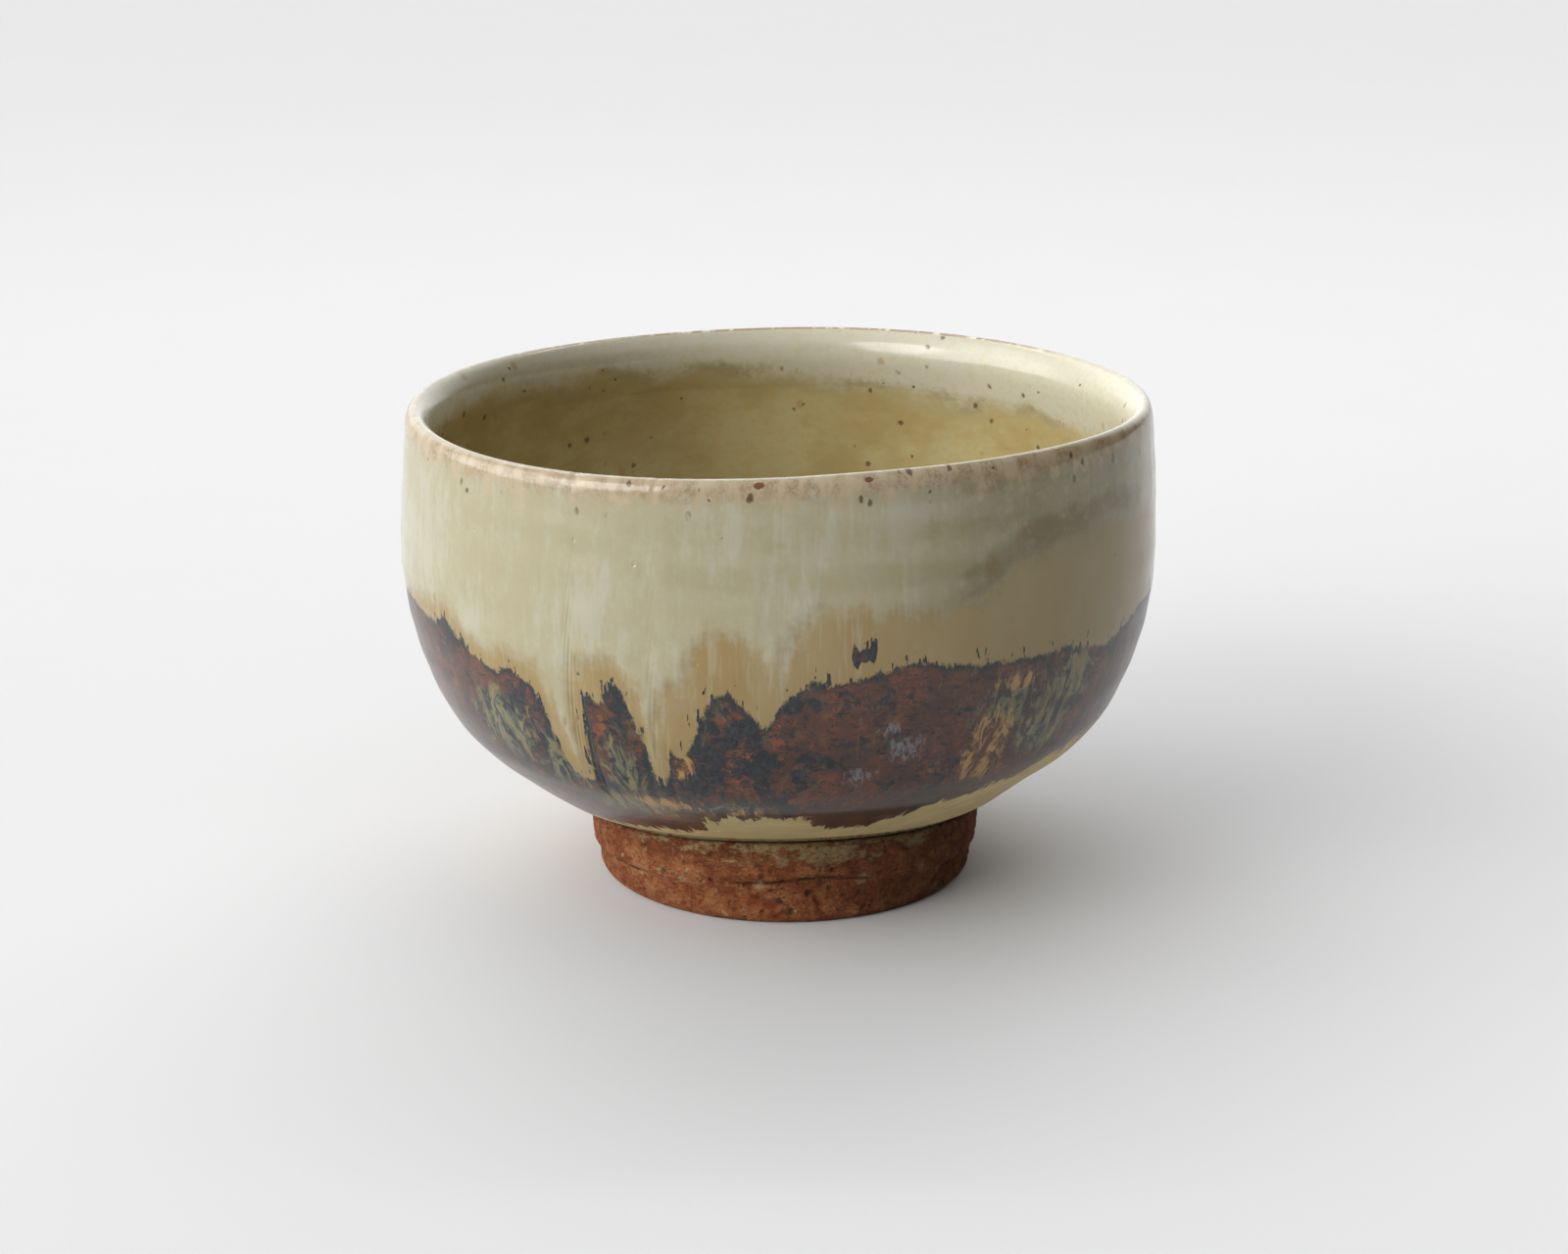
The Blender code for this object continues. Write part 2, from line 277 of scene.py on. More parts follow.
def hand_thrown(radius, height, azimuth):
    """Where the potter's hands left a point of the true turned shape. Azimuth 0 is the front."""
    angle = azimuth - math.pi / 2
    share = height / HEIGHT
    spread = 1 + share**2 * wave_sum(RADIUS_WAVES, angle) / MAX_RADIUS
    shift = np.clip((SHIFT_TOP - height) / (SHIFT_TOP - SHIFT_BOTTOM), 0, 1)
    joint_up = height / JOINT_WAVE_HEIGHT
    joint_down = (JOINT_WAVE_TOP - height) / (JOINT_WAVE_TOP - JOINT_WAVE_HEIGHT)
    joint = np.clip(np.minimum(joint_up, joint_down), 0, None) * np.minimum(radius / FOOT_RADIUS, 1)
    return np.stack([
        radius * np.cos(angle) * spread + FOOT_SHIFT * shift**2 * (3 - 2 * shift),
        radius * np.sin(angle) * spread,
        height + share**3 * wave_sum(HEIGHT_WAVES, angle) + joint * wave_sum(JOINT_WAVES, angle),
    ], axis=-1)


def grid_normals(points):
    """Outward unit normals of a grid of points whose rows run up the outside and whose columns go round."""
    around = np.roll(points, -1, axis=1) - np.roll(points, 1, axis=1)
    along = np.gradient(points, axis=0)
    normals = np.cross(around, along)
    return normals / np.maximum(np.linalg.norm(normals, axis=-1, keepdims=True), 1e-12)


def smooth_step(value, low, high):
    """0 below low, 1 above high, and smooth between them."""
    t = np.clip((value - low) / (high - low), 0, 1)
    return t * t * (3 - 2 * t)


def ripples(azimuth, along, seed, count, most_round, shortest):
    """A gentle random unevenness over the wall, between about -1 and 1, that closes on itself."""
    random = np.random.default_rng(seed)
    total = np.zeros(np.broadcast(azimuth, along).shape)
    for _ in range(count):
        turns = random.integers(0, most_round + 1)
        length = random.uniform(shortest, 4 * shortest)
        phase = random.uniform(0, 2 * math.pi)
        total += np.cos(turns * azimuth + 2 * math.pi * along / length * random.choice([-1, 1]) + phase)
    return total / math.sqrt(count)


# === The map of the glazes ====================================================
def line_heights(line, azimuth):
    """The height of a line, given as (degrees, height) points, at each azimuth."""
    degrees, heights = np.array(line, float).T
    return np.interp(np.degrees(azimuth), degrees, heights)


def signed_distance(along, line, spacing):
    """Distance on the unrolled wall from each grid point to a line, positive above it."""
    nearest = np.full(along.shape, np.inf)
    for offset in range(-LINE_REACH, LINE_REACH):
        start = np.roll(line, -offset)
        end = np.roll(line, -offset - 1)
        x0 = offset * spacing
        rise = end - start
        share = np.clip((-x0 * spacing + (along - start) * rise) / (spacing**2 + rise**2), 0, 1)
        nearest = np.minimum(nearest, np.hypot(x0 + share * spacing, start + share * rise - along))
    return np.where(along > line, nearest, -nearest)


def spot(azimuth, along, centre, size):
    """1 at the middle of an oval on the unrolled wall, falling to 0 at its edge."""
    across = (azimuth - math.radians(centre[0])) * ROLLED_RADIUS / size[0]
    up = (along - centre[1]) / size[1]
    return 1 - smooth_step(np.hypot(across, up), 0, 1)


class Wall:
    """The glazed skin as one grid of points, with the glaze map on it."""

    def __init__(self):
        outline = skin_outline()
        self.lengths = arc_lengths(outline)
        self.radius, self.height = outline.T
        self.crest = int(np.argmax(self.height))
        self.azimuth = np.linspace(-math.pi, math.pi, COLUMNS, endpoint=False)
        pale = self.up_outside(line_heights(PALE_LINE, self.azimuth))
        iron = np.minimum(self.up_outside(line_heights(IRON_LINE, self.azimuth)), pale - LEAST_OCHRE)
        skirt = self.up_outside(line_heights(SKIRT_LINE, self.azimuth))
        self.lay_rows(skirt, iron, pale)
        self.maps = self.glaze_map(skirt, iron, pale)
        radius, height = self.outline_at(self.along)
        surface = hand_thrown(radius, height, self.azimuth[None] + 0 * self.along)
        normals = grid_normals(surface)
        self.points = surface - normals * self.relief()[..., None]
        self.backs = surface - normals * BACK_DEPTH
        self.normals = grid_normals(self.points)

    def up_outside(self, heights):
        """Length along the outline, from the foot joint, of a height on the outside."""
        return np.interp(heights, self.height[:self.crest], self.lengths[:self.crest])

    def outline_at(self, along):
        """Radius and height of the outline at these lengths along it."""
        return np.interp(along, self.lengths, self.radius), np.interp(along, self.lengths, self.height)

    def lay_rows(self, skirt, iron, pale):
        """Rows of grid points from the foot joint to the middle of the inside, a band for each coat."""
        low_edge = np.interp(SKIRT_RADIUS, self.radius[:self.crest // 2], self.lengths[:self.crest // 2])
        lining = np.interp(-LINING_HEIGHT, -self.height[self.crest:], self.lengths[self.crest:])
        borders = [np.full(COLUMNS, low_edge), skirt, iron, pale, np.full(COLUMNS, lining),
                   np.full(COLUMNS, self.lengths[-1] - CENTRE_RADIUS)]
        self.bands = {}
        rows = [borders[0][None]]
        first = 0
        for (band, count), low, high in zip(ROW_COUNTS.items(), borders, borders[1:]):
            rows.append(low + (high - low) * (np.arange(1, count + 1) / count)[:, None])
            self.bands[band] = (first, first + count)
            first += count
        self.along = np.vstack(rows)

    def ovals(self, patches):
        """1 in the middle of each oval (degrees, height, (half width, half height)) and 0 outside them."""
        found = [spot(self.azimuth[None], self.along, (degrees, self.up_outside(height)), size)
                 for degrees, height, size in patches]
        return np.max(found, axis=0)

    def glaze_map(self, skirt, iron, pale):
        """How deep in each glaze a point lies, in mm, the places that the fire left different, and the
        khaki mottling at the right with painted shade over that side.
        """
        spacing = 2 * math.pi * ROLLED_RADIUS / COLUMNS
        mark = self.ovals(IRON_MARK)
        mark = np.where(mark > 0, 3.6 * mark - 1.4, -FAR)
        degrees = np.degrees(self.azimuth)[None]
        calm = (0.30 + 0.55 * smooth_step(degrees, -2, 10) - 0.15 * smooth_step(degrees, 30, 48)
                + 0.35 * smooth_step(-degrees, 44, 52))
        pale_depth = signed_distance(self.along, pale, spacing)
        # Painted shade: the whole upper right gets at least this much of the darker khaki, on top of the
        # real khaki band along the pale line.
        right = smooth_step(degrees, 6, 38) * (1 - smooth_step(degrees, 58, 80))
        khaki_and_shade = right * np.maximum(0.68, 1 - smooth_step(np.abs(pale_depth - 2.0), 0.5, 6.5))
        khaki_and_shade *= 0.45 + 0.55 * smooth_step(pale_depth, -4, 1.5)
        return {
            "pale_depth": pale_depth,
            "iron_depth": np.maximum(-signed_distance(self.along, iron, spacing), mark),
            "skirt_depth": -signed_distance(self.along, skirt, spacing),
            "lip_depth": self.lengths[self.crest] - self.along,
            "lining_depth": self.along - self.lengths[self.crest] - line_heights(LINING_LINE, self.azimuth),
            "bloom": self.ovals(BLOOMS),
            "ochre_run": self.ovals(OCHRE_RUNS),
            "green_run": self.ovals(GREEN_RUNS),
            "rust": self.ovals(RUST_SPOTS),
            "khaki_and_shade": khaki_and_shade,
            "worn": 0.3 + 0.7 * smooth_step(np.abs(degrees), 118, 140) + 0 * self.along,
            "calm": calm + 0 * self.along,
        }

    def relief(self):
        """How far each point lies below the CAD surface, in mm: thin glaze lies deeper than thick."""
        azimuth = self.azimuth[None]
        outside = smooth_step(self.maps["lip_depth"], 1, 6)
        pale = smooth_step(self.maps["pale_depth"], -0.4, 2.2) * outside
        thin = outside - pale
        radius, height = self.outline_at(self.along)
        wander = 1.3 * np.sin(azimuth) + 0.8 * np.sin(2 * azimuth + 1)
        rings = np.sin(2 * math.pi * height / RING_SPACING + wander)
        uneven = ripples(azimuth, self.along, seed=4, count=24, most_round=14, shortest=9)
        streaks = ripples(azimuth, self.along, seed=9, count=30, most_round=90, shortest=40)
        marks = RING_DEPTH * rings + UNEVEN_DEPTH * uneven + STREAK_DEPTH * streaks * pale
        off_centre = smooth_step(radius, 8, 30)
        spiral = np.sin(2 * math.pi * radius / RING_SPACING + azimuth)
        spiral = spiral * smooth_step(radius, 1, 6) * (1 - off_centre)
        thrown = off_centre * marks + SPIRAL_DEPTH * spiral
        return np.clip(GLAZE_LEVEL + THIN_GLAZE * thin - thrown, LEAST_DEPTH, MOST_DEPTH)


# === Meshes ===================================================================
def ring_faces(first, second, columns):
    """Quads between two rings of vertex numbers. They face outwards when second lies above first."""
    near = np.arange(columns)
    far = np.roll(near, -1)
    return np.stack([first + near, first + far, second + far, second + near], axis=1).tolist()


def band_faces(rows, columns):
    """Quads between the neighbouring rings of a grid of points."""
    faces = []
    for row in range(rows - 1):
        faces += ring_faces(row * columns, (row + 1) * columns, columns)
    return faces


def fan_faces(ring, centre, columns):
    """Triangles that close a ring with one point. They face up."""
    near = np.arange(columns)
    far = np.roll(near, -1)
    return np.stack([ring + near, ring + far, np.full(columns, centre)], axis=1).tolist()


def mesh_piece(name, points, faces, node):
    """A piece of the bowl from points in mm, in place of one CAD node."""
    mesh = bpy.data.meshes.new(name)
    mesh.from_pydata((np.asarray(points) * MM).tolist(), [], faces)
    mesh.shade_smooth()
    piece = bpy.data.objects.new(name, mesh)
    bpy.context.scene.collection.objects.link(piece)
    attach(piece, "root")
    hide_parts(node)
    return piece


def add_map(piece, name, values):
    """A number for each point of a piece, which its material can read by name."""
    attribute = piece.data.attributes.new(name, "FLOAT", "POINT")
    attribute.data.foreach_set("value", values.astype(np.float32))


def coat(name, wall, band, node):
    """One coat of glaze as a closed shell: the surface that shows, a plain back and the edges."""
    first, last = wall.bands[band]
    picks = np.linspace(first, last, BACK_ROWS).round().astype(int)
    front_rows = last - first + 1
    back_start = front_rows * COLUMNS
    last_front = back_start - COLUMNS
    last_back = back_start + (BACK_ROWS - 1) * COLUMNS
    shown = slice(first, last + 1)
    points = np.vstack([wall.points[shown].reshape(-1, 3), wall.backs[picks].reshape(-1, 3)])
    normals = np.vstack([wall.normals[shown].reshape(-1, 3), -wall.normals[picks].reshape(-1, 3)])
    faces = band_faces(front_rows, COLUMNS)
    for row in range(BACK_ROWS - 1):
        low = back_start + row * COLUMNS
        faces += ring_faces(low + COLUMNS, low, COLUMNS)
    faces += ring_faces(back_start, 0, COLUMNS)
    reaches_centre = last == len(wall.along) - 1
    if reaches_centre:
        centre = len(points)
        points = np.vstack([points, wall.points[last].mean(axis=0), wall.backs[last].mean(axis=0)])
        normals = np.vstack([normals, (0, 0, 1), (0, 0, -1)])
        faces += fan_faces(last_front, centre, COLUMNS)
        faces += [face[::-1] for face in fan_faces(last_back, centre + 1, COLUMNS)]
    else:
        faces += ring_faces(last_front, last_back, COLUMNS)
    piece = mesh_piece(name, points, faces, node)
    piece.data.normals_split_custom_set_from_vertices(normals.tolist())
    for key, values in wall.maps.items():
        at_centre = np.full(2 * reaches_centre, values[last].mean())
        add_map(piece, key, np.concatenate([values[shown].ravel(), values[picks].ravel(), at_centre]))
    return piece


def offset_outline(points, distance):
    """The outline moved inwards. It runs up its outside."""
    along = np.gradient(points, axis=0)
    along /= np.linalg.norm(along, axis=1, keepdims=True)
    return points - distance * np.stack([along[:, 1], -along[:, 0]], axis=1)


def turned(outline, columns):
    """Points of a turned shape in mm, a row for each outline point, and the azimuth of each."""
    azimuth = np.linspace(-math.pi, math.pi, columns, endpoint=False)[None]
    radius = outline[:, :1] + 0 * azimuth
    height = outline[:, 1:] + 0 * azimuth
    azimuth = azimuth + 0 * radius
    return hand_thrown(radius, height, azimuth), azimuth


def clay_body():
    """The bare clay of the bowl, which shows in the hollow of the foot with the spiral of its trimming."""
    skin = offset_outline(skin_outline()[::CLAY_THINNING], CLAY_INSET)
    under = catmull_rom(UNDERSIDE[::-1])
    under[0, 0] = CENTRE_RADIUS
    skin[-1, 0] = CENTRE_RADIUS
    outline = evenly_spaced(np.vstack([under, skin]), CLAY_STEP)
    points, azimuth = turned(outline, CLAY_COLUMNS)
    radius = outline[:, :1]
    under_share = (outline[:, 1:] < UNDERSIDE[0][1]) & (radius < FOOT_HOLLOW)
    spiral = np.sin(2 * math.pi * radius / TRIM_SPACING + azimuth)
    points[..., 2] += under_share * TRIM_DEPTH * (0.5 + 0.5 * spiral)
    faces = band_faces(len(outline), CLAY_COLUMNS)
    centre = len(outline) * CLAY_COLUMNS
    faces += [face[::-1] for face in fan_faces(0, centre, CLAY_COLUMNS)]
    faces += fan_faces(centre - CLAY_COLUMNS, centre + 1, CLAY_COLUMNS)
    points = np.vstack([points.reshape(-1, 3), points[0].mean(axis=0), points[-1].mean(axis=0)])
    return mesh_piece("bowl_clay", points, faces, "clay_bowl")


def grain(points, size, shift=(0, 0, 0)):
    """Random bumps of about this size in mm, from about -1 to 1, at each point of a grid."""
    values = [noise.noise(Vector(point) / size + Vector(shift)) for point in points.reshape(-1, 3)]
    return np.array(values).reshape(points.shape[:-1])


def foot():
    """The turned foot: a coarse wall with a wandering trimmed ridge, a crack under it, grog and pits."""
    outline = softened(evenly_spaced(np.array(FOOT, float), FOOT_STEP), 1)[:-1]
    points, azimuth = turned(outline, FOOT_COLUMNS)
    height = outline[:, 1:] + 0 * azimuth
    outward = np.stack([np.sin(azimuth), -np.cos(azimuth), 0 * azimuth], axis=-1)
    between_edges = smooth_step(height, 0.6, 1.5) * (1 - smooth_step(height, 11, 11.8))
    outer = (outline[:, :1] > FOOT_RADIUS - FOOT_SKIN) * between_edges
    wander = 2.0 * np.cos(azimuth + 0.1) + 0.5 * np.sin(3 * azimuth + 0.6) + 0.2 * np.sin(11 * azimuth)
    above = height - (RIDGE_LEVEL + wander)
    ridge = RIDGE_SIZE * np.exp(-(above / 0.9) ** 2)
    cracked = smooth_step(np.sin(5 * azimuth + 1.2), -0.6, 0.1)
    crack = -CRACK_DEPTH * np.exp(-((above + 1.0) / 0.32) ** 2) * cracked
    chatter = CHATTER_DEPTH * np.sin(2 * math.pi * height / CHATTER_SPACING + 2 * np.sin(azimuth * 2))
    rough = 0.22 * grain(points, 2.4) + 0.20 * grain(points, 0.9)
    pits = -0.35 * smooth_step(grain(points, 1.3, (9, 4, 7)), 0.38, 0.6)
    relief = np.minimum(ridge + crack + chatter + rough + pits - FOOT_SUNK, MOST_PROUD)
    points += outward * (outer * relief)[..., None]
    faces = band_faces(len(outline), FOOT_COLUMNS)
    faces += ring_faces((len(outline) - 1) * FOOT_COLUMNS, 0, FOOT_COLUMNS)
    piece = mesh_piece("turned_foot", points.reshape(-1, 3), faces, "foot_ring")
    degrees = np.degrees(azimuth)
    # Painted shade: marks the right side of the foot, away from the light, to be darkened.
    painted_side_shade = smooth_step(degrees, -10, 45) * (1 - smooth_step(degrees, 110, 170))
    add_map(piece, "crack", (outer * crack / -CRACK_DEPTH).ravel())
    add_map(piece, "painted_side_shade", painted_side_shade.ravel())
    return piece


# === Materials ================================================================
class Nodes:
    """Short calls that build a node tree. A value may be a number, a colour or another node's output."""

    def __init__(self, tree):
        self.tree = tree

    def add(self, kind, inputs=None, **settings):
        """A new node with these settings and these values on its sockets."""
        node = self.tree.nodes.new(kind)
        for key, value in settings.items():
            setattr(node, key, value)
        for key, value in (inputs or {}).items():
            self.feed(node.inputs[key], value)
        return node

    def feed(self, socket, value):
        """Link or set one socket."""
        if isinstance(value, bpy.types.NodeSocket):
            self.tree.links.new(value, socket)
        else:
            socket.default_value = value

    def math(self, operation, *values, kind="ShaderNodeMath"):
        """One math operation on the values."""
        node = self.add(kind, operation=operation)
        for socket, value in zip(node.inputs, values):
            self.feed(socket, value)
        return node.outputs[0]

    def vector(self, operation, *values):
        """One vector operation on the values."""
        return self.math(operation, *values, kind="ShaderNodeVectorMath")

    def plus(self, *values):
        """The sum of the values."""
        total = values[0]
        for value in values[1:]:
            total = self.math("ADD", total, value)
        return total

    def times(self, *values):
        """The product of the values."""
        total = values[0]
        for value in values[1:]:
            total = self.math("MULTIPLY", total, value)
        return total

    def most(self, first, second):
        """The larger of two values."""
        return self.math("MAXIMUM", first, second)

    def opposite(self, value):
        """1 where the value is 0, and 0 where it is 1."""
        return self.math("SUBTRACT", 1.0, value)

    def sway(self, pattern, amount):
        """A noise pattern as a push of up to half the amount either way."""
        return self.times(self.plus(pattern, -0.5), amount)

    def map(self, name):
        """The number that the mesh carries under this name."""
        return self.add("ShaderNodeAttribute", attribute_name=name).outputs["Fac"]

    def ease(self, value, low, high):
        """0 below low, 1 above high, and smooth between them."""
        inputs = {"Value": value, "From Min": low, "From Max": high}
        return self.add("ShaderNodeMapRange", inputs, interpolation_type="SMOOTHSTEP").outputs["Result"]

    def mix(self, share, first, second):
        """The first colour where share is 0 and the second where it is 1."""
        node = self.add("ShaderNodeMix", data_type="RGBA")
        for socket, value in ((0, share), (6, first), (7, second)):      # its factor and its two colours
            self.feed(node.inputs[socket], colour(value) if isinstance(value, tuple) else value)
        return node.outputs[2]

    def between(self, share, low, high):
        """The number low where share is 0 and high where it is 1."""
        return self.plus(self.times(share, high - low), low)

    def place(self, stretch=(1, 1, 1)):
        """Position on the bowl in mm, squeezed along each axis."""
        where = self.add("ShaderNodeTexCoord").outputs["Object"]
        return self.vector("MULTIPLY", where, Vector(stretch) / MM)

    def run(self, stretch):
        """Position in mm, laid so that patterns run down the wall. A small stretch makes long runs."""
        where = self.add("ShaderNodeTexCoord").outputs["Object"]
        way = self.vector("NORMALIZE", self.vector("MULTIPLY", where, (1, 1, 0)))
        up = self.vector("MULTIPLY", where, (0, 0, stretch / MM))
        return self.vector("MULTIPLY_ADD", way, (ROLLED_RADIUS,) * 3, up)

    def noise(self, where, size, detail=2.0, roughness=0.5):
        """Random clouds, about this size in mm."""
        inputs = {"Vector": where, "Scale": 1 / size, "Detail": detail, "Roughness": roughness}
        return self.add("ShaderNodeTexNoise", inputs).outputs[0]

    def warped(self, where, size, amount):
        """The same place, pushed about by noise."""
        inputs = {"Vector": where, "Scale": 1 / size, "Detail": 3.0}
        push = self.add("ShaderNodeTexNoise", inputs).outputs["Color"]
        return self.vector("MULTIPLY_ADD", self.vector("SUBTRACT", push, (0.5,) * 3), (amount,) * 3, where)

    def specks(self, where, spacing, size, share):
        """Round specks: one in a share of the cells this far apart, with soft edges."""
        cells = self.add("ShaderNodeTexVoronoi", {"Vector": where, "Scale": 1 / spacing})
        pick = self.add("ShaderNodeSeparateColor", {0: cells.outputs["Color"]})
        reach = self.times(pick.outputs[1], size / spacing)
        near = self.math("DIVIDE", cells.outputs["Distance"], self.most(reach, 0.01))
        chosen = self.math("LESS_THAN", pick.outputs[0], share)
        return self.times(self.opposite(self.ease(near, 0.6, 1.2)), chosen)

    def bump(self, height):
        """A normal from a height in mm."""
        return self.add("ShaderNodeBump", {"Height": height, "Strength": 1.0, "Distance": MM}).outputs[0]


def colour(value):
    """The colour with an alpha of 1."""
    return (*value, 1.0)


def new_material(name):
    """An empty material with its shader on the output, as (material, node builder, shader)."""
    material = bpy.data.materials.new(name)
    material.use_nodes = True
    material.node_tree.nodes.clear()
    nodes = Nodes(material.node_tree)
    shader = nodes.add("ShaderNodeBsdfPrincipled")
    nodes.add("ShaderNodeOutputMaterial", {"Surface": shader.outputs[0]})
    return material, nodes, shader


def pale_glaze(n):
    """The thick ash glaze: cream with blue-white runs, warmer thin places and soft clouds."""
    runs = n.noise(n.warped(n.run(0.16), 7.0, 4.0), 1.8, detail=5.0, roughness=0.7)
    clouds = n.noise(n.place((1, 1, 0.8)), 11.0, detail=5.0, roughness=0.65)
    mottle = n.noise(n.place(), 1.2, detail=4.0, roughness=0.75)
    thin = n.plus(n.times(runs, 0.35), n.times(clouds, 0.4), n.times(mottle, 0.25))
    shade = n.mix(n.ease(thin, 0.43, 0.57), PALE_WARM, PALE)
    thick = n.plus(n.times(clouds, 0.55), n.times(runs, 0.45))
    return n.mix(n.times(n.ease(thick, 0.50, 0.60), 0.65), shade, PALE_THICK)


def ochre_glaze(n):
    """The ash glaze where it runs thin over the iron's edge: honey brown, with a few paler runs in it."""
    clouds = n.noise(n.run(0.5), 7.0, detail=3.0)
    runs = n.noise(n.warped(n.run(0.08), 5.0, 2.0), 1.3, detail=5.0, roughness=0.7)
    shade = n.mix(n.ease(clouds, 0.30, 0.70), OCHRE_DEEP, OCHRE)
    reach = n.opposite(n.ease(n.map("khaki_and_shade"), 0.0, 0.25))
    return n.mix(n.times(n.ease(runs, 0.50, 0.66), reach, 0.6), shade, PALE_WARM)


def iron_glaze(n):
    """The iron glaze: red-brown islands in a web of blue-black lines, and a slate fringe at its edge."""
    depth = n.map("iron_depth")
    calm = n.map("calm")
    patches = n.noise(n.run(0.7), 6.0, detail=3.0, roughness=0.6)
    grain = n.noise(n.run(0.9), 0.7, detail=4.0, roughness=0.75)
    islands = n.noise(n.warped(n.run(1.1), 2.6, 5.0), 4.0, detail=7.0, roughness=0.72)
    above = n.math("SUBTRACT", islands, n.between(calm, 0.53, 0.385))
    ground = n.opposite(n.ease(above, -0.01, 0.03))
    rims = n.opposite(n.ease(n.math("ABSOLUTE", above), 0.01, 0.05))
    web = n.noise(n.warped(n.run(1.7), 1.5, 3.0), 3.0, detail=6.0, roughness=0.72)
    web = n.opposite(n.ease(n.math("ABSOLUTE", n.plus(web, -0.5)), 0.002, 0.04))
    web = n.times(web, n.between(n.ease(patches, 0.38, 0.6), 0.1, 0.85))
    veins = n.noise(n.warped(n.run(2.4), 2.0, 3.0), 2.2, detail=6.0, roughness=0.75)
    red = n.mix(n.ease(patches, 0.38, 0.62), IRON_BROWN, IRON_RED)
    red = n.mix(n.times(n.ease(grain, 0.45, 0.60), 0.5), red, IRON_BROWN)
    red = n.mix(n.times(n.ease(veins, 0.52, 0.60), 0.75), red, IRON_BLACK)
    flecks = n.noise(n.warped(n.run(0.9), 1.5, 1.5), 2.0, detail=3.0)
    flecks = n.times(n.ease(flecks, 0.55, 0.72), n.opposite(n.ease(calm, 0.35, 0.6)))
    red = n.mix(n.times(flecks, 0.8), red, IRON_ORANGE)
    black = n.mix(n.ease(grain, 0.42, 0.62), IRON_BLACK, IRON_SLATE)
    dark = n.most(n.times(ground, n.between(grain, 1.15, 0.75)), n.times(n.most(rims, web), 0.85))
    shade = n.mix(dark, red, black)
    edge_depth = n.plus(depth, n.sway(grain, 2.5), n.sway(patches, 6.0))
    edge = n.opposite(n.ease(edge_depth, 0.2, 1.6))
    return n.mix(edge, shade, n.mix(n.ease(grain, 0.35, 0.6), IRON_SLATE, IRON_BLACK))


def fired_runs(n, shade):
    """Places where the iron glaze ran in khaki and slate streaks, thinned to ochre or grew crystals."""
    streaks = n.noise(n.warped(n.warped(n.run(0.5), 9.0, 12.0), 2.2, 4.0), 2.1, detail=6.0, roughness=0.70)
    fine = n.noise(n.run(0.6), 0.7, detail=3.0, roughness=0.7)
    bright = n.plus(streaks, n.sway(fine, 0.12))
    ran = n.ease(n.plus(n.map("green_run"), n.sway(streaks, 2.4)), 0.05, 0.9)
    streak = n.mix(n.ease(streaks, 0.38, 0.46), IRON_BLACK, IRON_SLATE)
    streak = n.mix(n.ease(streaks, 0.43, 0.53), streak, GREEN)
    streak = n.mix(n.times(n.ease(bright, 0.51, 0.62), 0.6), streak, OCHRE_DEEP)
    shade = n.mix(n.times(ran, 0.88), shade, streak)
    thinned = n.map("ochre_run")
    ochre = n.plus(thinned, n.sway(streaks, 3.2), n.sway(fine, 1.4))
    tan = n.mix(n.ease(bright, 0.42, 0.58), IRON_BROWN, OCHRE_RUN)
    shade = n.mix(n.times(n.ease(ochre, 0.15, 0.95), n.ease(thinned, 0.0, 0.3), 0.9), shade, tan)
    bloom = n.plus(n.map("bloom"), n.sway(streaks, 1.6))
    bloom = n.times(n.ease(bloom, 0.35, 0.9), n.ease(fine, 0.42, 0.60))
    return n.mix(n.times(bloom, 0.75), shade, BLOOM), bloom


def iron_reach(n):
    """Where the iron glaze shows, with its ragged edge, and where that edge tints the glaze above it."""
    ragged = n.noise(n.warped(n.run(0.45), 1.5, 1.5), 1.8, detail=6.0, roughness=0.78)
    spiky = n.noise(n.run(0.25), 0.9, detail=2.5, roughness=0.6)
    fringe = n.plus(n.sway(ragged, 4.0), n.times(n.ease(spiky, 0.56, 0.74), 2.6))
    depth = n.plus(n.map("iron_depth"), fringe)
    return n.ease(depth, -0.2, 0.4), n.ease(depth, -3.0, -0.4)


def skirt_reach(n, rugged):
    """Where the skirt glaze shows, and the rim of thin iron glaze round it."""
    fingers = n.noise(n.run(0.12), 2.0, detail=5.0, roughness=0.7)
    depth = n.plus(n.map("skirt_depth"), n.sway(fingers, 14.0), n.sway(rugged, 6.0))
    return n.ease(depth, -0.3, 0.7), n.ease(depth, -1.1, -0.4)


def ash_glazes(n, halo, mottled, rugged, streaky):
    """The pale glaze where it covers the ochre one, with the khaki cloud at the right, which also paints
    the shade on that side.
    """
    softness = n.plus(n.sway(streaky, 8.0), n.sway(mottled, 5.0))
    pale = n.ease(n.plus(n.map("pale_depth"), softness), -1.4, 3.0)
    shade = n.mix(n.times(pale, n.between(halo, 1.0, 0.25)), ochre_glaze(n), pale_glaze(n))
    shade = n.mix(n.times(halo, 0.35), shade, OCHRE_DEEP)
    # The khaki and brown clouds at the right: real mottling, plus painted shade over that side.
    khaki_and_shade = n.map("khaki_and_shade")
    drift = n.plus(n.times(rugged, 0.9), n.times(streaky, 0.9), n.times(mottled, 0.9), -0.45)
    shade = n.mix(n.times(khaki_and_shade, n.ease(drift, 0.15, 1.0)), shade, KHAKI_AND_SHADE)
    clouds = n.noise(n.place(), 8.0, detail=5.0, roughness=0.7)
    brown = n.ease(n.plus(khaki_and_shade, n.sway(clouds, 2.0)), 0.55, 1.25)
    return n.mix(n.times(brown, n.ease(drift, 0.3, 1.0), 0.8), shade, KHAKI_BROWN_AND_SHADE)


